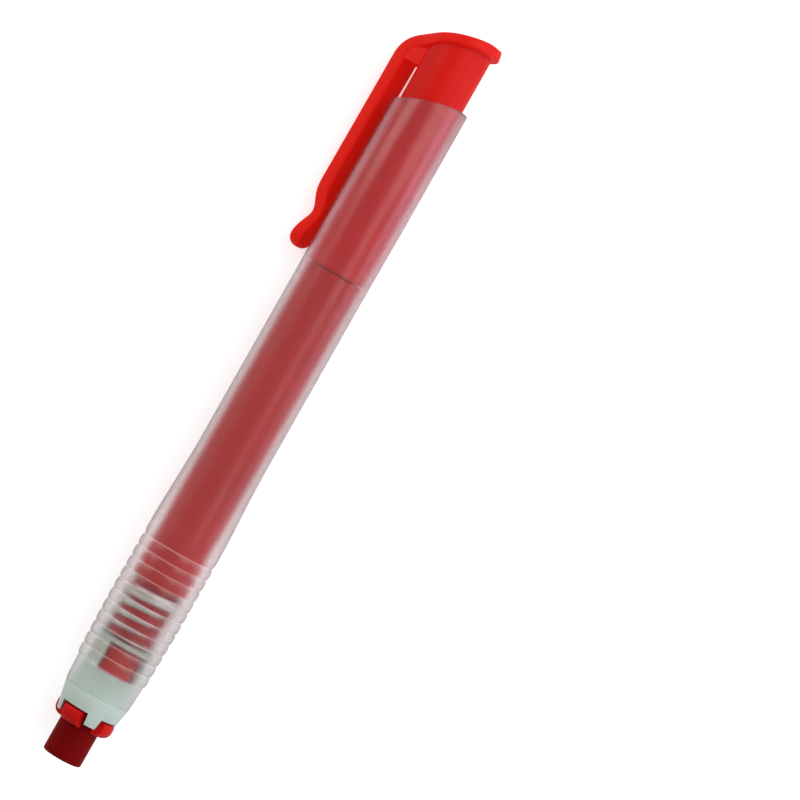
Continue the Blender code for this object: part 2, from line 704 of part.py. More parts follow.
def least_gap(points):
    """The least clear distance between two stretches of the wire that are most of a turn apart."""
    least = math.inf
    for i, point in enumerate(points):
        for other in points[i + POINTS_PER_TURN // 2:]:
            least = min(least, (point - other).length)
    return least - WIRE_DIAMETER


def points_of(obj):
    return [v.co.copy() for v in evaluated_mesh(obj).vertices]


def lay_down(resting, propping):
    """Lays the pen on its side, rolled until the clip's tail touches the surface that the rings lie on."""
    body = [(p.x, p.y) for p in points_of(resting)]
    prop = [(p.x, p.y) for p in points_of(propping)]

    def lowest(points, lean):
        return min(y * math.cos(lean) - x * math.sin(lean) for x, y in points)

    low, high = 0.0, math.pi / 2
    for _ in range(40):
        lean = (low + high) / 2
        if lowest(prop, lean) > lowest(body, lean):
            low = lean
        else:
            high = lean
    clip_way = Vector((0, -math.cos(low), -math.sin(low)))
    side_way = Vector((0, -math.sin(low), math.cos(low)))
    lay.matrix_world = Matrix((clip_way, side_way, Vector((-1, 0, 0)))).transposed().to_4x4()
    corners = [p for obj in pieces.objects if obj.type == "MESH" for p in points_of(obj)]
    middle = [(max(p[k] for p in corners) + min(p[k] for p in corners)) / 2 for k in (0, 1)]
    floor = min(p.z for p in corners)
    lay.location = (-middle[0], -middle[1], -floor)
    print("lean of the clip below level", round(math.degrees(low), 3), "degrees")


eraser_rod()
jaws()
feed_tube()
nose_bush()
main_barrel = barrel()
push_button()
main_clip = clip()
spring()
lay_down(main_barrel, main_clip)
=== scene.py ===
"""The looks of a retractable eraser pen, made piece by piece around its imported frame.

The pen lies on its side with its tip towards +X. Each piece is modelled upright, with the eraser's face at
height 0 and the clip on the +X side, and is then laid down into its place in the frame.
"""
import json
import math

import bpy
from mathutils import Matrix, Vector


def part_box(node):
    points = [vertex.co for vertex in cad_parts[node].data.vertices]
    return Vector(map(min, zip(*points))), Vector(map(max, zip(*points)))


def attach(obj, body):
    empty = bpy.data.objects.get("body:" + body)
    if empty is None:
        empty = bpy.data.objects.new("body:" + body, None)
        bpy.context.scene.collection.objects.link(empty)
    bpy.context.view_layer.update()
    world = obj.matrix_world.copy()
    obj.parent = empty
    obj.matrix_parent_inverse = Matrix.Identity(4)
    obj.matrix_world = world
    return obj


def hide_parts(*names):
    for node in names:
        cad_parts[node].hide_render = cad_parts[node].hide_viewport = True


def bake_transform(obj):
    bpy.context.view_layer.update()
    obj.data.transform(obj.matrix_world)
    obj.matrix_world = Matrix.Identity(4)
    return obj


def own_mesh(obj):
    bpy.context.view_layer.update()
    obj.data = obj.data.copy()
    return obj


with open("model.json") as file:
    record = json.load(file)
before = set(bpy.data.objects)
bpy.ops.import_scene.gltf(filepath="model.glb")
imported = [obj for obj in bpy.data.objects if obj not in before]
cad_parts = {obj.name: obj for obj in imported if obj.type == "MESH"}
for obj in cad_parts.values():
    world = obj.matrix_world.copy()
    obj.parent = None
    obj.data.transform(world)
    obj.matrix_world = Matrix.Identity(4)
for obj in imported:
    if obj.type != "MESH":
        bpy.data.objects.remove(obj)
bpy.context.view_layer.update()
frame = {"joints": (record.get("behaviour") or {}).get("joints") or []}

MM = 0.001

# The lay. Every piece is modelled upright and then laid down by one matrix, which is read from the frame: the
# pen's height runs from the rod's face back along the rod, and its side way is the clip's bending axis.
rod_low, rod_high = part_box("eraser_rod")
clip_joint = next(joint for joint in frame["joints"] if joint["name"] == "clip_flex")
up_way = Vector((-1, 0, 0))
side_way = -Vector(clip_joint["axis"]).normalized()
lay = Matrix((side_way.cross(up_way), side_way, up_way)).transposed().to_4x4()
lay.translation = (rod_high.x, (rod_low.y + rod_high.y) / 2, (rod_low.z + rod_high.z) / 2)

# Studio. The camera looks straight down on the pen, which leans clockwise in the picture. A wide soft lamp
# stands over the right of the picture, with a cool one low beside it, and one up to the left lights the clip.
# Sky and paper are bright where they are seen, and give less light than that.
CAMERA_PLACE = (-10.1 * MM, 20.5 * MM, 606.4 * MM)
CAMERA_TURN = math.radians(119.55)
CAMERA_LENS = 169.2
CAMERA_NEAR = 10 * MM
WHITE = (1, 1, 1, 1)
SKY_LIGHT = 0.4
PAPER_SIZE = 3
PAPER_COLOUR = (0.93, 0.93, 0.93, 1)
PAPER_ROUGHNESS = 0.9
PAPER_LIFT = 0.55
photo_right = Vector((math.cos(CAMERA_TURN), math.sin(CAMERA_TURN), 0))
photo_up = Vector((-math.sin(CAMERA_TURN), math.cos(CAMERA_TURN), 0))

bpy.ops.object.select_all(action="DESELECT")
bpy.ops.object.camera_add(location=CAMERA_PLACE, rotation=(0, 0, CAMERA_TURN))
camera = bpy.context.active_object
camera.name = "camera"
camera.data.lens = CAMERA_LENS
camera.data.clip_start = CAMERA_NEAR
bpy.context.scene.camera = camera


def soft_lamp(name, right, up, height, size, colour, power):
    """A square area lamp at a place in the picture's own directions, aimed at the pen."""
    place = photo_right * right + photo_up * up + Vector((0, 0, height))
    bpy.ops.object.light_add(type="AREA", location=place)
    lamp = bpy.context.active_object
    lamp.name = name
    lamp.data.size = size
    lamp.data.color = colour
    lamp.data.energy = power
    lamp.rotation_euler = (-place).to_track_quat("-Z", "Y").to_euler()


def direct_rays(tree):
    """An output that is 1 for a ray from the camera or through clear plastic, and 0 for any other."""
    ray = tree.nodes.new("ShaderNodeLightPath")
    direct = tree.nodes.new("ShaderNodeMath")
    direct.operation = "MAXIMUM"
    tree.links.new(ray.outputs["Is Camera Ray"], direct.inputs[0])
    tree.links.new(ray.outputs["Is Transmission Ray"], direct.inputs[1])
    return direct.outputs["Value"]


soft_lamp("window_lamp", right=0.4, up=0.1, height=0.42, size=0.5, colour=(1, 1, 1), power=1.65)
soft_lamp("cool_side_lamp", right=0.6, up=-0.15, height=0.16, size=0.25, colour=(0.8, 0.72, 1), power=0.8)
soft_lamp("clip_lamp", right=-0.3, up=0.42, height=0.3, size=0.3, colour=(1, 0.98, 0.95), power=0.8)

world = bpy.data.worlds.new("studio")
world.use_nodes = True
bpy.context.scene.world = world
sky = world.node_tree.nodes["Background"]
sky.inputs["Color"].default_value = WHITE
sky_level = world.node_tree.nodes.new("ShaderNodeMapRange")
sky_level.inputs["To Min"].default_value = SKY_LIGHT
sky_level.inputs["To Max"].default_value = 1.0
world.node_tree.links.new(direct_rays(world.node_tree), sky_level.inputs["Value"])
world.node_tree.links.new(sky_level.outputs["Result"], sky.inputs["Strength"])

bpy.ops.object.select_all(action="DESELECT")
bpy.ops.mesh.primitive_plane_add(size=PAPER_SIZE)
floor = bpy.context.active_object
floor.name = "floor"
floor_paper = bpy.data.materials.new("floor_paper")
floor_paper.use_nodes = True
paper = floor_paper.node_tree.nodes["Principled BSDF"]
paper.inputs["Base Color"].default_value = PAPER_COLOUR
paper.inputs["Roughness"].default_value = PAPER_ROUGHNESS
paper.inputs["Emission Color"].default_value = WHITE
lift = floor_paper.node_tree.nodes.new("ShaderNodeMath")
lift.operation = "MULTIPLY"
lift.inputs[1].default_value = PAPER_LIFT
floor_paper.node_tree.links.new(direct_rays(floor_paper.node_tree), lift.inputs[0])
floor_paper.node_tree.links.new(lift.outputs["Value"], paper.inputs["Emission Strength"])
floor.data.materials.append(floor_paper)

# Eraser rod. It is an extruded vinyl refill, cut to length with a slightly rounded edge, held in the feed
# tube by the four jaws. The vinyl is dark and matt, a little cloudy in colour, with a crumbly grain.
ROD_RADIUS = 3.35 * MM
ROD_LENGTH = 100.0 * MM
ROD_EDGE = 0.35 * MM
SPIN_STEPS = 96
MERGE_DISTANCE = 0.002 * MM
SMOOTH_LIMIT = math.radians(32)
VINYL_DARK = (0.17, 0.001, 0.001)
VINYL_LIGHT = (0.23, 0.002, 0.0025)
VINYL_ROUGHNESS = 0.62
VINYL_SPECULAR = 0.06
CLOUD_SCALE = 260
CRUMB_SCALE = 5200
CRUMB_STRENGTH = 0.25
CRUMB_DEPTH = 0.05 * MM


def spun_piece(name, outline, steps=SPIN_STEPS):
    """A new object, spun about the pen's axis from a line of (radius, height) points."""
    bpy.ops.object.select_all(action="DESELECT")
    bpy.ops.mesh.primitive_plane_add(size=MM)
    piece = bpy.context.active_object
    piece.name = name
    piece.data.name = name
    bpy.ops.object.mode_set(mode="EDIT")
    bpy.ops.mesh.select_all(action="SELECT")
    bpy.ops.mesh.merge(type="CENTER")
    bpy.ops.transform.translate(value=(outline[0][0], 0, outline[0][1]))
    for (radius, height), (next_radius, next_height) in zip(outline, outline[1:]):
        step = (next_radius - radius, 0, next_height - height)
        bpy.ops.mesh.extrude_region_move(TRANSFORM_OT_translate={"value": step})
    bpy.ops.mesh.select_all(action="SELECT")
    bpy.ops.mesh.spin(steps=steps, angle=math.tau, center=(0, 0, 0), axis=(0, 0, 1))
    bpy.ops.mesh.select_all(action="SELECT")
    bpy.ops.mesh.remove_doubles(threshold=MERGE_DISTANCE)
    bpy.ops.mesh.normals_make_consistent(inside=False)
    bpy.ops.object.mode_set(mode="OBJECT")
    return piece


def round_edges(piece, width, segments=3, limit=40):
    """Bevels every edge that turns by more than the limit, in degrees."""
    soft = piece.modifiers.new("edge_rounding", "BEVEL")
    soft.width = width
    soft.segments = segments
    soft.limit_method = "ANGLE"
    soft.angle_limit = math.radians(limit)
    bpy.ops.object.modifier_apply(modifier=soft.name)


def lay_down(piece):
    """Shades the piece smooth, and puts it into its place in the frame with its object at the origin."""
    bpy.ops.object.select_all(action="DESELECT")
    piece.select_set(True)
    bpy.context.view_layer.objects.active = piece
    piece.matrix_world = lay @ piece.matrix_world
    bpy.ops.object.transform_apply(location=True, rotation=True, scale=True)
    bpy.ops.object.shade_smooth_by_angle(angle=SMOOTH_LIMIT)


def principled(name):
    """A new material, and its shader."""
    material = bpy.data.materials.new(name)
    material.use_nodes = True
    return material, material.node_tree.nodes["Principled BSDF"]


def object_place(material):
    """The output that gives a point's place on its object."""
    return material.node_tree.nodes.new("ShaderNodeTexCoord").outputs["Object"]


def noise(material, scale, detail):
    """The output of a noise over the object, with about this many waves a metre."""
    node = material.node_tree.nodes.new("ShaderNodeTexNoise")
    node.inputs["Scale"].default_value = scale
    node.inputs["Detail"].default_value = detail
    material.node_tree.links.new(object_place(material), node.inputs["Vector"])
    return node.outputs["Fac"]


def give_tones(material, shader, flow, low, dark, high, light):
    """Sets the shader's colour, which goes from dark to light as the flow goes from low to high."""
    tones = material.node_tree.nodes.new("ShaderNodeValToRGB")
    for stop, position, colour in zip(tones.color_ramp.elements, (low, high), (dark, light)):
        stop.position = position
        stop.color = (*colour, 1)
    material.node_tree.links.new(flow, tones.inputs["Fac"])
    material.node_tree.links.new(tones.outputs["Color"], shader.inputs["Base Color"])


vinyl, vinyl_shader = principled("eraser_vinyl")
vinyl_shader.inputs["Roughness"].default_value = VINYL_ROUGHNESS
vinyl_shader.inputs["Specular IOR Level"].default_value = VINYL_SPECULAR
give_tones(vinyl, vinyl_shader, noise(vinyl, CLOUD_SCALE, 5), 0.3, VINYL_DARK, 0.75, VINYL_LIGHT)
crumb_bump = vinyl.node_tree.nodes.new("ShaderNodeBump")
crumb_bump.inputs["Strength"].default_value = CRUMB_STRENGTH
crumb_bump.inputs["Distance"].default_value = CRUMB_DEPTH
vinyl.node_tree.links.new(noise(vinyl, CRUMB_SCALE, 2), crumb_bump.inputs["Height"])
vinyl.node_tree.links.new(crumb_bump.outputs["Normal"], vinyl_shader.inputs["Normal"])

rod = spun_piece("eraser", [(0, 0), (ROD_RADIUS, 0), (ROD_RADIUS, ROD_LENGTH), (0, ROD_LENGTH)])
round_edges(rod, ROD_EDGE)
rod.data.materials.append(vinyl)
lay_down(rod)
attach(rod, "rod")
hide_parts("eraser_rod")

# Feed tube. A red polypropylene moulding that carries the rod: a thin neck through the spring, a shoulder
# for the spring's end, a long body, and a spigot that pushes into the button's sleeve.
TUBE_RADIUS = 4.75 * MM
TUBE_BORE_RADIUS = 3.5 * MM
SHOULDER_RADIUS = 4.47 * MM
SHOULDER_TAPER = 1.2 * MM
NECK_RADIUS = 3.85 * MM
SPIGOT_RADIUS = 4.0 * MM
NECK_START = 14.65 * MM
SHOULDER = 31.25 * MM
SPIGOT_START = 88.45 * MM
SPIGOT_END = 98.45 * MM
TUBE_EDGE = 0.1 * MM
GLOSS_CLOUD_SCALE = 320
GLOSS_CLOUD_LOW = 0.3
GLOSS_CLOUD_HIGH = 0.7
GRAIN_DEPTH = 0.02 * MM
PIGMENT_SCALE = 90
RED_SPECULAR = 0.14
RED_GLOW_THROUGH = 0.3
RED_GLOW_RADIUS = (1.0, 0.1, 0.05)
RED_GLOW_SCALE = 1.2 * MM
RED_GRAIN_SCALE = 4000
RED_GRAIN_STRENGTH = 0.2


def moulded_surface_group():
    """A satin moulded skin: cloudy changes of gloss, and a fine grain with a faint unevenness under it."""
    group = bpy.data.node_groups.new("moulded_surface", "ShaderNodeTree")
    for name, kind in (("Place", "NodeSocketVector"), ("Gloss Low", "NodeSocketFloat"),
                       ("Gloss High", "NodeSocketFloat"), ("Grain Scale", "NodeSocketFloat"),
                       ("Grain Strength", "NodeSocketFloat")):
        group.interface.new_socket(name, in_out="INPUT", socket_type=kind)
    group.interface.new_socket("Roughness", in_out="OUTPUT", socket_type="NodeSocketFloat")
    group.interface.new_socket("Normal", in_out="OUTPUT", socket_type="NodeSocketVector")
    nodes = group.nodes
    links = group.links
    given = nodes.new("NodeGroupInput")
    result = nodes.new("NodeGroupOutput")
    cloudy = nodes.new("ShaderNodeTexNoise")
    cloudy.inputs["Scale"].default_value = GLOSS_CLOUD_SCALE
    cloudy.inputs["Detail"].default_value = 3
    links.new(given.outputs["Place"], cloudy.inputs["Vector"])
    spread = nodes.new("ShaderNodeMapRange")
    spread.inputs["From Min"].default_value = GLOSS_CLOUD_LOW
    spread.inputs["From Max"].default_value = GLOSS_CLOUD_HIGH
    links.new(cloudy.outputs["Fac"], spread.inputs["Value"])
    links.new(given.outputs["Gloss Low"], spread.inputs["To Min"])
    links.new(given.outputs["Gloss High"], spread.inputs["To Max"])
    links.new(spread.outputs["Result"], result.inputs["Roughness"])
    grain = nodes.new("ShaderNodeTexNoise")
    grain.inputs["Detail"].default_value = 2
    links.new(given.outputs["Place"], grain.inputs["Vector"])
    links.new(given.outputs["Grain Scale"], grain.inputs["Scale"])
    fine = nodes.new("ShaderNodeBump")
    fine.inputs["Distance"].default_value = GRAIN_DEPTH
    links.new(given.outputs["Grain Strength"], fine.inputs["Strength"])
    links.new(grain.outputs["Fac"], fine.inputs["Height"])
    links.new(fine.outputs["Normal"], result.inputs["Normal"])
    return group


moulded_surface = moulded_surface_group()


def give_moulded_surface(material, shader, gloss_low, gloss_high, grain_scale, grain_strength):
    """Sets a moulded skin on the shader's roughness and normal."""
    skin = material.node_tree.nodes.new("ShaderNodeGroup")
    skin.node_tree = moulded_surface
    skin.inputs["Gloss Low"].default_value = gloss_low
    skin.inputs["Gloss High"].default_value = gloss_high
    skin.inputs["Grain Scale"].default_value = grain_scale
    skin.inputs["Grain Strength"].default_value = grain_strength
    material.node_tree.links.new(object_place(material), skin.inputs["Place"])
    material.node_tree.links.new(skin.outputs["Roughness"], shader.inputs["Roughness"])
    material.node_tree.links.new(skin.outputs["Normal"], shader.inputs["Normal"])


def red_plastic(name, dark, light, gloss_low, gloss_high):
    """Red moulded plastic, its colour a little uneven, as pigment is in a moulding."""
    material, shader = principled(name)
    give_tones(material, shader, noise(material, PIGMENT_SCALE, 3), 0.3, dark, 0.7, light)
    shader.inputs["Specular IOR Level"].default_value = RED_SPECULAR
    shader.inputs["Subsurface Weight"].default_value = RED_GLOW_THROUGH
    shader.inputs["Subsurface Radius"].default_value = RED_GLOW_RADIUS
    shader.inputs["Subsurface Scale"].default_value = RED_GLOW_SCALE
    give_moulded_surface(material, shader, gloss_low, gloss_high, RED_GRAIN_SCALE, RED_GRAIN_STRENGTH)
    return material


tube_red = red_plastic("tube_red", (0.6, 0.006, 0.006), (0.66, 0.009, 0.008), 0.42, 0.5)
tube_outline = [
    (TUBE_BORE_RADIUS, NECK_START),
    (NECK_RADIUS, NECK_START),
    (NECK_RADIUS, SHOULDER),
    (SHOULDER_RADIUS, SHOULDER),
    (TUBE_RADIUS, SHOULDER + SHOULDER_TAPER),
    (TUBE_RADIUS, SPIGOT_START),
    (SPIGOT_RADIUS, SPIGOT_START),
    (SPIGOT_RADIUS, SPIGOT_END),
    (TUBE_BORE_RADIUS, SPIGOT_END),
    (TUBE_BORE_RADIUS, NECK_START),
]
tube = spun_piece("feed_tube_body", tube_outline)
round_edges(tube, TUBE_EDGE, segments=2)
tube.data.materials.append(tube_red)
lay_down(tube)
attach(tube, "pusher")
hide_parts("feed_tube")

# Jaws. The feed tube's slit front end, four springy fingers of the same red moulding. Each one is a ring
# with a round-fronted ear, trimmed to the jaw's width, and it grips the rod where its ear lies in a notch.
JAW_COUNT = 4
JAW_WIDTH = 3.4 * MM
JAW_FRONT = 5.9 * MM
JAW_ROOT = 14.35 * MM
EAR_LENGTH = 2.6 * MM
EAR_RADIUS = 5.15 * MM
EAR_ROUNDING = 1.5 * MM
EAR_BACK_ROUNDING = 0.45 * MM
JAW_EDGE = 0.14 * MM
EAR_STEPS = 8
EAR_BACK_STEPS = 4


def cut_away(point, normal):
    """Cuts the mesh in edit mode by a plane, drops what is on the normal's side and closes the cut."""
    bpy.ops.mesh.select_all(action="SELECT")
    bpy.ops.mesh.bisect(plane_co=point, plane_no=normal, use_fill=True, clear_outer=True)


ear_back = JAW_FRONT + EAR_LENGTH
jaw_outline = [(TUBE_BORE_RADIUS, JAW_ROOT), (TUBE_BORE_RADIUS, JAW_FRONT)]
for i in range(EAR_STEPS + 1):
    angle = math.pi / 2 * i / EAR_STEPS
    radius = EAR_RADIUS - EAR_ROUNDING * (1 - math.sin(angle))
    jaw_outline.append((radius, JAW_FRONT + EAR_ROUNDING * (1 - math.cos(angle))))
for i in range(EAR_BACK_STEPS + 1):
    angle = math.pi / 2 * i / EAR_BACK_STEPS
    radius = EAR_RADIUS - EAR_BACK_ROUNDING * (1 - math.cos(angle))
    jaw_outline.append((radius, ear_back - EAR_BACK_ROUNDING * (1 - math.sin(angle))))
jaw_outline += [(NECK_RADIUS, ear_back), (NECK_RADIUS, JAW_ROOT)]
jaw_outline.append(jaw_outline[0])
finger = spun_piece("jaw_finger", jaw_outline)
bpy.ops.object.mode_set(mode="EDIT")
cut_away((0, 0, 0), (-1, 0, 0))
cut_away((0, JAW_WIDTH / 2, 0), (0, 1, 0))
cut_away((0, -JAW_WIDTH / 2, 0), (0, -1, 0))
bpy.ops.object.mode_set(mode="OBJECT")
round_edges(finger, JAW_EDGE)
jaw_red = red_plastic("jaw_red", (0.6, 0.004, 0.002), (0.68, 0.006, 0.003), 0.4, 0.48)
finger.data.materials.append(jaw_red)
for i in range(JAW_COUNT):
    jaw = finger.copy()
    jaw.data = finger.data.copy()
    jaw.name = f"jaw_finger_{i + 1}"
    bpy.context.collection.objects.link(jaw)
    jaw.matrix_world = Matrix.Rotation(math.tau * i / JAW_COUNT, 4, "Z")
    lay_down(jaw)
    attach(jaw, "jaw_" + "abcd"[i])
    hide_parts(f"jaw_{i + 1}")
bpy.data.objects.remove(finger, do_unlink=True)

# Spring. Drawn steel wire, wound open between closed turns at its ends, set between the bush's cage and the
# feed tube's shoulder. It is squeezed to half its length when the button is pushed.
WIRE_RADIUS = 0.45 * MM
COIL_RADIUS = 4.32 * MM
LOW_CLOSED_TURNS = 0.5
HIGH_CLOSED_TURNS = 1.7
SPRING_TURNS = 6
POINTS_PER_TURN = 36
STEEL_COLOUR = (0.72, 0.78, 0.72, 1)
STEEL_METALLIC = 0.6
CAGE_END = 21.25 * MM

spring_low = CAGE_END + WIRE_RADIUS
spring_high = SHOULDER - WIRE_RADIUS
wire_steps = SPRING_TURNS * POINTS_PER_TURN
open_shares = []
for i in range(wire_steps):
    turn = (i + 0.5) / POINTS_PER_TURN
    from_low = min(max(turn / LOW_CLOSED_TURNS - 0.5, 0), 1)
    from_high = min(max((SPRING_TURNS - turn) / HIGH_CLOSED_TURNS - 0.5, 0), 1)
    open_shares.append(min(from_low, from_high))
closed_step = 2 * WIRE_RADIUS / POINTS_PER_TURN
open_step = closed_step + (spring_high - spring_low - wire_steps * closed_step) / sum(open_shares)
wire = bpy.data.curves.new("steel_spring", "CURVE")
wire.dimensions = "3D"
wire.bevel_depth = WIRE_RADIUS
wire.bevel_resolution = 3
wire.use_fill_caps = True
line = wire.splines.new("POLY")
line.points.add(wire_steps)
height = spring_low
for i, point in enumerate(line.points):
    angle = math.tau * i / POINTS_PER_TURN
    point.co = (COIL_RADIUS * math.cos(angle), COIL_RADIUS * math.sin(angle), height, 1)
    if i < wire_steps:
        height += closed_step + (open_step - closed_step) * open_shares[i]
spring = bpy.data.objects.new("steel_spring", wire)
bpy.context.collection.objects.link(spring)
bpy.ops.object.select_all(action="DESELECT")
spring.select_set(True)
bpy.context.view_layer.objects.active = spring
bpy.ops.object.convert(target="MESH")
spring = bpy.context.active_object
bpy.ops.object.mode_set(mode="EDIT")
bpy.ops.mesh.select_all(action="SELECT")
bpy.ops.mesh.remove_doubles(threshold=MERGE_DISTANCE)
bpy.ops.mesh.normals_make_consistent(inside=False)
bpy.ops.object.mode_set(mode="OBJECT")
steel, steel_shader = principled("drawn_wire")
steel_shader.inputs["Metallic"].default_value = STEEL_METALLIC
steel_shader.inputs["Base Color"].default_value = STEEL_COLOUR
give_moulded_surface(steel, steel_shader, gloss_low=0.34, gloss_high=0.46, grain_scale=6000,
                     grain_strength=0.15)
spring.data.materials.append(steel)
lay_down(spring)
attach(spring, "pusher")
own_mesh(spring)
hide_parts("spring")

# Nose bush. A white acetal moulding pressed into the barrel's front: a ring with four notches for the
# jaws' ears, and behind it a cage with three windows whose end carries the spring.
CAGE_RADIUS = 4.8 * MM
BUSH_BORE_RADIUS = 4.15 * MM
RING_RADIUS = 5.62 * MM
TOOTH_TIP_RADIUS = 4.7 * MM
NOTCH_TOP_RADIUS = 5.05 * MM
TOOTH_TIP = 6.9 * MM
NOTCH_TOP = 8.8 * MM
RING_TOP = 11.7 * MM
NOTCH_PLAY = 1.7 * MM
WINDOW_COUNT = 3
WINDOW_LOW = 15.85 * MM
WINDOW_HIGH = 20.65 * MM
PILLAR_ANGLE = math.radians(32.0)
PILLAR_TURN = math.radians(73.0)
SNAP_RIB_LOW = 14.95 * MM
SNAP_RIB_LENGTH = 0.6 * MM
SNAP_RIB_HEIGHT = 0.12 * MM
BUSH_EDGE = 0.12 * MM
CUTTER_SPARE = 1.0 * MM
ACETAL_COLOUR = (0.6, 0.72, 0.645, 1)

bush_outline = [
    (BUSH_BORE_RADIUS, TOOTH_TIP),
    (TOOTH_TIP_RADIUS, TOOTH_TIP),
    (NOTCH_TOP_RADIUS, NOTCH_TOP),
    (RING_RADIUS, RING_TOP),
    (CAGE_RADIUS, RING_TOP),
    (CAGE_RADIUS, SNAP_RIB_LOW),
    (CAGE_RADIUS + SNAP_RIB_HEIGHT, SNAP_RIB_LOW + SNAP_RIB_LENGTH / 3),
    (CAGE_RADIUS + SNAP_RIB_HEIGHT, SNAP_RIB_LOW + SNAP_RIB_LENGTH * 2 / 3),
    (CAGE_RADIUS, SNAP_RIB_LOW + SNAP_RIB_LENGTH),
    (CAGE_RADIUS, CAGE_END),
    (BUSH_BORE_RADIUS, CAGE_END),
    (BUSH_BORE_RADIUS, TOOTH_TIP),
]


def carve(piece, tool):
    """Takes the tool's shape out of the piece, and removes the tool."""
    step = piece.modifiers.new("carving", "BOOLEAN")
    step.operation = "DIFFERENCE"
    step.solver = "EXACT"
    step.object = tool
    bpy.ops.object.select_all(action="DESELECT")
    piece.select_set(True)
    bpy.context.view_layer.objects.active = piece
    bpy.ops.object.modifier_apply(modifier=step.name)
    bpy.data.objects.remove(tool, do_unlink=True)


bush = spun_piece("notched_bush", bush_outline)
for i in range(JAW_COUNT):
    turn = Matrix.Rotation(math.tau * i / JAW_COUNT, 4, "Z")
    bpy.ops.mesh.primitive_cube_add(size=1)
    notch_tool = bpy.context.active_object
    reach = Matrix.Diagonal((RING_RADIUS * 2, JAW_WIDTH + NOTCH_PLAY, NOTCH_TOP, 1))
    notch_tool.matrix_world = turn @ Matrix.Translation((RING_RADIUS, 0, NOTCH_TOP / 2)) @ reach
    carve(bush, notch_tool)
for i in range(WINDOW_COUNT):
    middle = PILLAR_TURN + math.tau * (i + 0.5) / WINDOW_COUNT
    half = (math.tau / WINDOW_COUNT - PILLAR_ANGLE) / 2
    bpy.ops.mesh.primitive_cylinder_add(vertices=SPIN_STEPS, radius=CAGE_RADIUS + CUTTER_SPARE,
                                        depth=WINDOW_HIGH - WINDOW_LOW)
    window_tool = bpy.context.active_object
    bpy.ops.object.mode_set(mode="EDIT")
    for side in (-1, 1):
        edge = middle + side * half
        cut_away((0, 0, 0), (-side * math.sin(edge), side * math.cos(edge), 0))
    bpy.ops.object.mode_set(mode="OBJECT")
    window_tool.matrix_world = Matrix.Translation((0, 0, (WINDOW_LOW + WINDOW_HIGH) / 2))
    carve(bush, window_tool)
round_edges(bush, BUSH_EDGE, segments=2)
acetal, acetal_shader = principled("white_acetal")
acetal_shader.inputs["Base Color"].default_value = ACETAL_COLOUR
give_moulded_surface(acetal, acetal_shader, gloss_low=0.38, gloss_high=0.48, grain_scale=3500,
                     grain_strength=0.2)
bush.data.materials.append(acetal)
lay_down(bush)
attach(bush, "holder")
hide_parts("nose_bush")

# Push button's sleeve. The cap is one red moulding; this is its lower part, a sleeve that slides in the
# barrel, closed by a solid head under the roof, with the web that carries the clip's corner.
SLEEVE_RADIUS = 4.93 * MM
SLEEVE_BORE_RADIUS = 4.2 * MM
SLEEVE_END = 88.75 * MM
SLEEVE_BORE_TOP = 120.75 * MM
ROOF_TOP = 131.3 * MM
ROOF_SLANT = math.radians(16.9)
HEAD_UNDER_ROOF = 0.9 * MM
WEB_WIDTH = 5.3 * MM
WEB_LOW = 124.24 * MM
WEB_HIGH = 128.4 * MM
WEB_INNER = 3.7 * MM
WEB_OUTER = 8.2 * MM
WEB_SLOPE = 0.4
HEAD_SPARE = 3.0 * MM
# The roof, clip and web take a darker copy of the cap's red with a red emission on it: painted light, which
# lifts their shaded faces, the clip's inner face most.
CLIP_PAINTED_LIGHT_COLOUR = (1, 0.012, 0.004, 1)
CLIP_PAINTED_LIGHT = 0.28

cap_red = red_plastic("cap_red", (0.7, 0.007, 0.003), (0.76, 0.009, 0.0035), 0.42, 0.5)
clip_red_painted_light = red_plastic("clip_red_painted_light", (0.52, 0.005, 0.002), (0.58, 0.006, 0.0025), 0.42, 0.5)
clip_shader = clip_red_painted_light.node_tree.nodes["Principled BSDF"]
clip_shader.inputs["Emission Color"].default_value = CLIP_PAINTED_LIGHT_COLOUR
clip_shader.inputs["Emission Strength"].default_value = CLIP_PAINTED_LIGHT
sleeve_outline = [
    (0, ROOF_TOP + HEAD_SPARE),
    (SLEEVE_RADIUS, ROOF_TOP + HEAD_SPARE),
    (SLEEVE_RADIUS, SLEEVE_END),
    (SLEEVE_BORE_RADIUS, SLEEVE_END),
    (SLEEVE_BORE_RADIUS, SLEEVE_BORE_TOP),
    (0, SLEEVE_BORE_TOP),
]
sleeve = spun_piece("cap_sleeve", sleeve_outline)
bpy.ops.object.mode_set(mode="EDIT")
roof_normal = (math.sin(ROOF_SLANT), 0, math.cos(ROOF_SLANT))
cut_away((0, 0, ROOF_TOP - HEAD_UNDER_ROOF), roof_normal)
bpy.ops.object.mode_set(mode="OBJECT")
bpy.ops.mesh.primitive_cube_add(size=1)
web = bpy.context.active_object
web_size = Matrix.Diagonal((WEB_OUTER - WEB_INNER, WEB_WIDTH, WEB_HIGH - WEB_LOW, 1))
web_middle = Matrix.Translation(((WEB_OUTER + WEB_INNER) / 2, 0, (WEB_HIGH + WEB_LOW) / 2))
web.matrix_world = web_middle @ web_size
bpy.ops.object.transform_apply(location=True, rotation=True, scale=True)
bpy.ops.object.mode_set(mode="EDIT")
cut_away((WEB_INNER, 0, WEB_HIGH), (WEB_SLOPE, 0, 1))
bpy.ops.object.mode_set(mode="OBJECT")
# The web takes the red with painted light, so that it matches the clip's corner.
web.data.materials.append(clip_red_painted_light)
sleeve.data.materials.append(cap_red)
sleeve.select_set(True)
bpy.context.view_layer.objects.active = sleeve
bpy.ops.object.join()
lay_down(sleeve)
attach(sleeve, "pusher")
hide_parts("push_button")
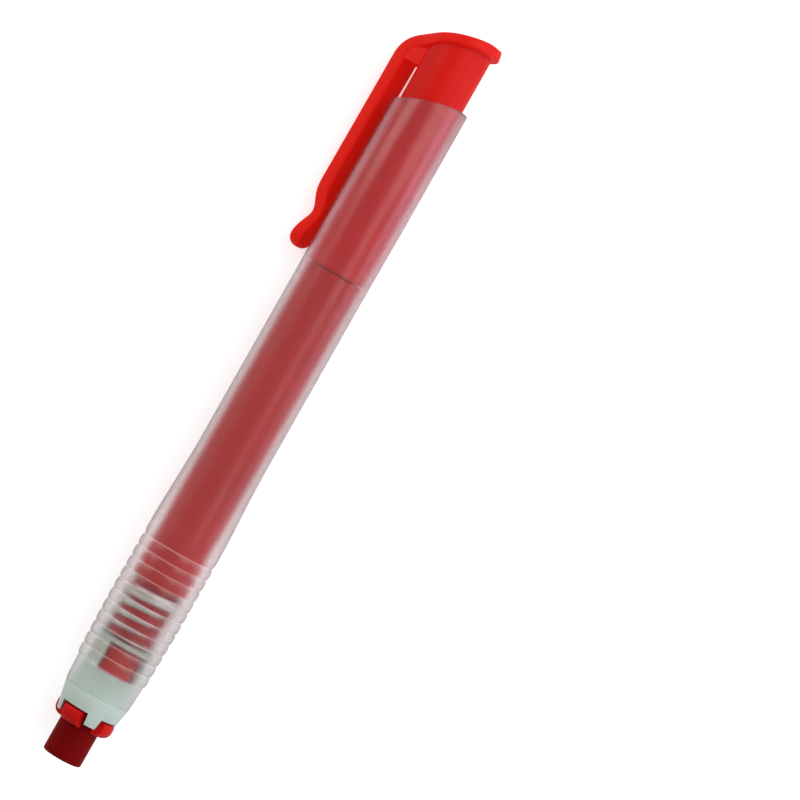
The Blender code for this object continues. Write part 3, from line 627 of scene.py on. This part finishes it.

# Cap roof and clip. The upper part of the same red moulding: a lipped, slightly domed roof that runs on
# round a corner into the clip, a flat arm with a drawn-in neck and a round tail.
CLIP_ROOT = 123.49 * MM
CLIP_OUTER = 9.38 * MM
CLIP_LENGTH = 34.0 * MM
CLIP_THICKNESS = 2.35 * MM
CLIP_WIDTH = 5.5 * MM
TAIL_WIDTH = 4.4 * MM
CLIP_CORNER = 0.6 * MM
CLIP_SPLAY = 0.5 * MM
NECK_PLACE = 6.3 * MM
NECK_REACH = 4.5 * MM
NECK_DIP = 1.5 * MM
NECK_INNER = 6.23 * MM
TAIL_ROUNDING = 2.0 * MM
DOME_RADIUS = 50.0 * MM
CORNER_RADIUS = 5.0 * MM
ROOF_RADIUS = 5.78 * MM
ROOF_SIDE_PLACE = 3.2 * MM
ROOF_THICKNESS = 2.0 * MM
LIP_ROUNDING = 0.9 * MM
CORNER_STEPS = 9
ROOF_ANGLES = (*range(56, 161, 8), 164, 168, 171, 174, 177)
ARM_STEPS = 34
TAIL_ANGLES = (75, 60, 45, 30, 18, 9)
SAME_HEIGHT = 0.001 * MM

dome_x = -DOME_RADIUS * math.sin(ROOF_SLANT)
dome_top = ROOF_TOP + DOME_RADIUS * (1 - math.cos(ROOF_SLANT))
corner_turn = math.asin((CLIP_OUTER - CORNER_RADIUS - dome_x) / (DOME_RADIUS - CORNER_RADIUS))
corner_z = dome_top - DOME_RADIUS + (DOME_RADIUS - CORNER_RADIUS) * math.cos(corner_turn)


def ease(t):
    """A smooth step from 0 to 1."""
    return t * t * (3 - 2 * t)


def roof_section(turn):
    """Middle, turn, width and thickness of the roof's section where its top has turned by this angle."""
    if turn < corner_turn:
        x = dome_x + DOME_RADIUS * math.sin(turn)
        z = dome_top - DOME_RADIUS * (1 - math.cos(turn))
    else:
        x = CLIP_OUTER - CORNER_RADIUS * (1 - math.sin(turn))
        z = corner_z + CORNER_RADIUS * math.cos(turn)
    thickness = ROOF_THICKNESS + (CLIP_THICKNESS - ROOF_THICKNESS) * ease(min(max(x / CLIP_OUTER, 0), 1))
    middle = Vector((x - math.sin(turn) * thickness / 2, 0, z - math.cos(turn) * thickness / 2))
    depth = min((x + ROOF_RADIUS) / LIP_ROUNDING, 1)
    thickness *= 0.5 + 0.5 * math.sqrt(1 - (1 - depth) ** 2)
    if x < ROOF_SIDE_PLACE:
        half = math.sqrt(ROOF_RADIUS ** 2 - x * x)
    else:
        start = math.sqrt(ROOF_RADIUS ** 2 - ROOF_SIDE_PLACE ** 2)
        share = min((x - ROOF_SIDE_PLACE) / (CLIP_OUTER - CLIP_THICKNESS / 2 - ROOF_SIDE_PLACE), 1)
        half = start + (CLIP_WIDTH / 2 - start) * math.sin(share * math.pi / 2)
    return middle, turn, 2 * half, thickness


def clip_faces(height):
    """The arm's outer and inner face at a height."""
    outer = CLIP_OUTER + CLIP_SPLAY * (CLIP_ROOT - height) / CLIP_LENGTH
    inner = outer - CLIP_THICKNESS
    offset = abs(height - (CLIP_ROOT - CLIP_LENGTH + NECK_PLACE)) / NECK_REACH
    if offset < 1:
        share = (1 + math.cos(math.pi * offset)) / 2
        outer -= NECK_DIP * share
        inner -= (inner - NECK_INNER) * share
    return outer, inner


def clip_section(height):
    """Middle, turn, width and thickness of the arm's section at a height, drawn in to a round tail."""
    outer, inner = clip_faces(height)
    step = 0.05 * MM
    slope = (sum(clip_faces(height - step)) - sum(clip_faces(height + step))) / (4 * step)
    tail = CLIP_ROOT - CLIP_LENGTH
    width = CLIP_WIDTH + (TAIL_WIDTH - CLIP_WIDTH) * (CLIP_ROOT - height) / CLIP_LENGTH
    depth = min((height - tail) / TAIL_ROUNDING, 1)
    width *= math.sqrt(1 - (1 - depth) ** 2)
    depth = min((height - tail) / (CLIP_THICKNESS / 2), 1)
    thickness = (outer - inner) * math.sqrt(1 - (1 - depth) ** 2)
    return Vector(((outer + inner) / 2, 0, height)), math.pi / 2 - math.atan(slope), width, thickness


def turn_section(angle, centre):
    """Turns what is selected about the pen's side way. With no window, the operator turns the other way."""
    bpy.ops.transform.rotate(value=-angle, orient_axis="Y", center_override=centre)


def draw_out(sections):
    """Extrudes the selected face from the first section through the others."""
    for (here, turn, width, thickness), (middle, next_turn, next_width, next_thickness) in zip(
            sections, sections[1:]):
        bpy.ops.mesh.extrude_region_move(TRANSFORM_OT_translate={"value": middle - here})
        turn_section(math.pi / 2 - turn, middle)
        ratio = (next_thickness / thickness, next_width / width, 1)
        bpy.ops.transform.resize(value=ratio, center_override=middle)
        turn_section(next_turn - math.pi / 2, middle)


root_middle = Vector((CLIP_OUTER - CLIP_THICKNESS / 2, 0, CLIP_ROOT))
root_section = (root_middle, math.pi / 2, CLIP_WIDTH, CLIP_THICKNESS)
roof_sections = [root_section]
for i in range(CORNER_STEPS + 1):
    roof_sections.append(roof_section(math.pi / 2 + (corner_turn - math.pi / 2) * i / CORNER_STEPS))
for angle in ROOF_ANGLES:
    x = ROOF_RADIUS * math.cos(math.radians(angle))
    roof_sections.append(roof_section(math.asin((x - dome_x) / DOME_RADIUS)))
arm_sections = [root_section]
arm_end = CLIP_ROOT - CLIP_LENGTH + TAIL_ROUNDING
for i in range(1, ARM_STEPS + 1):
    arm_sections.append(clip_section(CLIP_ROOT + (arm_end - CLIP_ROOT) * i / ARM_STEPS))
for angle in TAIL_ANGLES:
    height = CLIP_ROOT - CLIP_LENGTH + TAIL_ROUNDING * (1 - math.cos(math.radians(angle)))
    arm_sections.append(clip_section(height))

bpy.ops.object.select_all(action="DESELECT")
bpy.ops.mesh.primitive_plane_add(size=1)
clip = bpy.context.active_object
clip.name = "cap_roof_and_clip"
clip.data.name = clip.name
bpy.ops.object.mode_set(mode="EDIT")
bpy.ops.mesh.select_all(action="SELECT")
bpy.ops.transform.resize(value=(CLIP_THICKNESS, CLIP_WIDTH, 1), center_override=(0, 0, 0))
bpy.ops.mesh.bevel(offset=CLIP_CORNER, segments=3, affect="VERTICES")
bpy.ops.transform.translate(value=root_middle)
draw_out(roof_sections)
bpy.ops.mesh.select_all(action="DESELECT")
bpy.ops.object.mode_set(mode="OBJECT")
for face in clip.data.polygons:
    face.select = abs(face.center.z - CLIP_ROOT) < SAME_HEIGHT and abs(face.normal.z) > 0.9
bpy.ops.object.mode_set(mode="EDIT")
draw_out(arm_sections)
bpy.ops.mesh.select_all(action="SELECT")
bpy.ops.mesh.normals_make_consistent(inside=False)
bpy.ops.object.mode_set(mode="OBJECT")
fine = clip.modifiers.new("fine", "SUBSURF")
fine.levels = 2
fine.render_levels = 2
bpy.ops.object.modifier_apply(modifier=fine.name)
# The roof and clip take the red with painted light, whose emission lifts their shaded faces.
clip.data.materials.append(clip_red_painted_light)
lay_down(clip)
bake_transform(clip)
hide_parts("clip", "push_button")

# Barrel. One clear polypropylene tube with a frosted skin, moulded with eleven grip rings, a flare that
# narrows to the waist, and a slanted rim. The bush is pressed into its front, and the sleeve slides in its
# top. Its tint carries painted light from the pieces inside: grey over the bush, pink over the red pieces.
# A painted glint, a pale emission, lies along each groove.
BARREL_FRONT = 11.72 * MM
BARREL_TOP = 119.0 * MM
NOSE_BORE_RADIUS = 5.0 * MM
BORE_STEP = 41.35 * MM
BORE_TAPER = 4.0 * MM
BARREL_BORE_RADIUS = 5.13 * MM
FRONT_RADIUS = 5.66 * MM
FRONT_TAPER = 4.35 * MM
RING_COUNT = 11
RING_PITCH = 1.98 * MM
CREST_RADIUS = 6.38 * MM
CREST_DRAW_IN = 0.24 * MM
DRAWN_RINGS = 5
RING_DEPTH = 0.28 * MM
FLARE_RADIUS = 6.34 * MM
FLARE_LENGTH = 17.0 * MM
WAIST_RADIUS = 5.88 * MM
WAIST_LENGTH = 30.0 * MM
TOP_RADIUS = 5.98 * MM
RIM_EDGE = 0.25 * MM
BARREL_SPIN_STEPS = 128
FRONT_STEPS = 8
FRONT_CURVE = 1.5
RING_STEPS = 8
FLARE_STEPS = 24
FROST_SCALE = 30
FROST_ROUGHNESS = (0.25, 0.29)
FROST_SPECULAR = 0.18
FROST_TONES = (0.97, 1.03)
# The wall's tint along the pen's height: its own frosted grey, with painted light from the pieces inside,
# grey-green over the bush, darker from the cage's windows over the spring, and pink over the red pieces.
WALL_TINT_AND_PAINTED_LIGHT_STOPS = [
    (12.0 * MM, (0.88, 0.9, 0.88)),
    (15.5 * MM, (0.84, 0.84, 0.83)),
    (18.0 * MM, (0.76, 0.72, 0.71)),
    (30.0 * MM, (0.78, 0.71, 0.71)),
    (37.0 * MM, (0.84, 0.72, 0.73)),
    (86.0 * MM, (0.84, 0.71, 0.72)),
    (93.0 * MM, (0.84, 0.56, 0.61)),
]
# Painted glint: a pale emission in a thin line along each groove of the grip.
GROOVE_PAINTED_GLINT_COLOUR = (1, 0.86, 0.86, 1)
GROOVE_PAINTED_GLINT = 0.16
GROOVE_PAINTED_GLINT_REACH = 0.09
GRIP_MARGIN = 0.3

rings_low = BARREL_FRONT + FRONT_TAPER
rings_high = rings_low + RING_COUNT * RING_PITCH
flare_low = rings_high + RING_PITCH / 2


def groove_radius(ring):
    """The radius between the grip rings, which draws in a little over the first few of them."""
    return CREST_RADIUS - RING_DEPTH - CREST_DRAW_IN * max(1 - ring / DRAWN_RINGS, 0)


barrel_outline = [(NOSE_BORE_RADIUS, BARREL_FRONT)]
for i in range(FRONT_STEPS + 1):
    t = 1 - i / FRONT_STEPS
    radius = groove_radius(0) + (FRONT_RADIUS - groove_radius(0)) * t ** FRONT_CURVE
    barrel_outline.append((radius, rings_low - FRONT_TAPER * t))
for ring in range(RING_COUNT):
    for i in range(1, RING_STEPS + 1):
        t = i / RING_STEPS
        bulge = math.sqrt(1 - (2 * t - 1) ** 2)
        radius = groove_radius(ring + t) + RING_DEPTH * bulge
        barrel_outline.append((radius, rings_low + (ring + t) * RING_PITCH))
for i in range(FLARE_STEPS + 1):
    t = i / FLARE_STEPS
    radius = FLARE_RADIUS + (WAIST_RADIUS - FLARE_RADIUS) * ease(t)
    barrel_outline.append((radius, flare_low + FLARE_LENGTH * t))
waist_end = flare_low + FLARE_LENGTH + WAIST_LENGTH
barrel_reach = BARREL_TOP + TOP_RADIUS
barrel_outline += [
    (WAIST_RADIUS, waist_end),
    (TOP_RADIUS, waist_end + WAIST_LENGTH / 2),
    (TOP_RADIUS, barrel_reach),
    (BARREL_BORE_RADIUS, barrel_reach),
    (BARREL_BORE_RADIUS, BORE_STEP + BORE_TAPER),
    (NOSE_BORE_RADIUS, BORE_STEP),
    (NOSE_BORE_RADIUS, BARREL_FRONT),
]
barrel = spun_piece("frosted_barrel", barrel_outline, BARREL_SPIN_STEPS)
bpy.ops.object.mode_set(mode="EDIT")
cut_away((0, 0, BARREL_TOP), roof_normal)
bpy.ops.mesh.select_all(action="DESELECT")
bpy.ops.object.mode_set(mode="OBJECT")
round_edges(barrel, RIM_EDGE, limit=50)
frosted, frosted_shader = principled("frosted_clear")
frosted_shader.inputs["Transmission Weight"].default_value = 1.0
frosted_shader.inputs["IOR"].default_value = 1.49
frosted_shader.inputs["Specular IOR Level"].default_value = FROST_SPECULAR
frosted_shader.inputs["Emission Color"].default_value = GROOVE_PAINTED_GLINT_COLOUR
frosted_nodes = frosted.node_tree.nodes
frosted_links = frosted.node_tree.links
frost = noise(frosted, FROST_SCALE, 0)
along = frosted_nodes.new("ShaderNodeSeparateXYZ")
frosted_links.new(object_place(frosted), along.inputs["Vector"])


def frosted_range(value, low, high, reach=1.0):
    """A value that goes from low to high as the given output goes from 0 to the reach."""
    node = frosted_nodes.new("ShaderNodeMapRange")
    node.inputs["From Max"].default_value = reach
    node.inputs["To Min"].default_value = low
    node.inputs["To Max"].default_value = high
    frosted_links.new(value, node.inputs["Value"])
    return node.outputs["Result"]


def frosted_math(operation, first, second, third=0.0):
    """The output of a math node, fed by an output and one or two numbers, or by two outputs."""
    node = frosted_nodes.new("ShaderNodeMath")
    node.operation = operation
    frosted_links.new(first, node.inputs[0])
    if isinstance(second, bpy.types.NodeSocket):
        frosted_links.new(second, node.inputs[1])
    else:
        node.inputs[1].default_value = second
    node.inputs[2].default_value = third
    return node.outputs["Value"]


frosted_links.new(frosted_range(frost, *FROST_ROUGHNESS), frosted_shader.inputs["Roughness"])
# The tint with painted light from the pieces inside, set along the pen's height.
wall_tint_and_painted_light = frosted_nodes.new("ShaderNodeValToRGB")
while len(wall_tint_and_painted_light.color_ramp.elements) < len(WALL_TINT_AND_PAINTED_LIGHT_STOPS):
    wall_tint_and_painted_light.color_ramp.elements.new(0.5)
for stop, (height, tint) in zip(wall_tint_and_painted_light.color_ramp.elements, WALL_TINT_AND_PAINTED_LIGHT_STOPS):
    stop.position = height / BARREL_TOP
    stop.color = (*tint, 1)
pen_height = frosted_math("MULTIPLY_ADD", along.outputs["X"], -1 / BARREL_TOP, lay.translation.x / BARREL_TOP)
frosted_links.new(pen_height, wall_tint_and_painted_light.inputs["Fac"])
wall_tone_and_painted_light = frosted_nodes.new("ShaderNodeHueSaturation")
frosted_links.new(frosted_range(frost, *FROST_TONES), wall_tone_and_painted_light.inputs["Value"])
frosted_links.new(wall_tint_and_painted_light.outputs["Color"], wall_tone_and_painted_light.inputs["Color"])
frosted_links.new(wall_tone_and_painted_light.outputs["Color"], frosted_shader.inputs["Base Color"])
# The painted glint along the grooves, counted out ring by ring over the grip.
ring_number = frosted_math("MULTIPLY_ADD", along.outputs["X"], -1 / RING_PITCH,
                           (lay.translation.x - rings_low) / RING_PITCH)
to_groove = frosted_math("PINGPONG", ring_number, 0.5)
painted_glint_line = frosted_range(to_groove, GROOVE_PAINTED_GLINT, 0, GROOVE_PAINTED_GLINT_REACH)
in_grip = frosted_math("COMPARE", ring_number, RING_COUNT / 2, RING_COUNT / 2 + GRIP_MARGIN)
painted_groove_glint = frosted_math("MULTIPLY", painted_glint_line, in_grip)
frosted_links.new(painted_groove_glint, frosted_shader.inputs["Emission Strength"])
barrel.data.materials.append(frosted)
lay_down(barrel)
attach(barrel, "holder")
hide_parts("barrel")

# Finish. The picture's plain colour transform is set.
bpy.context.scene.view_settings.view_transform = "Standard"
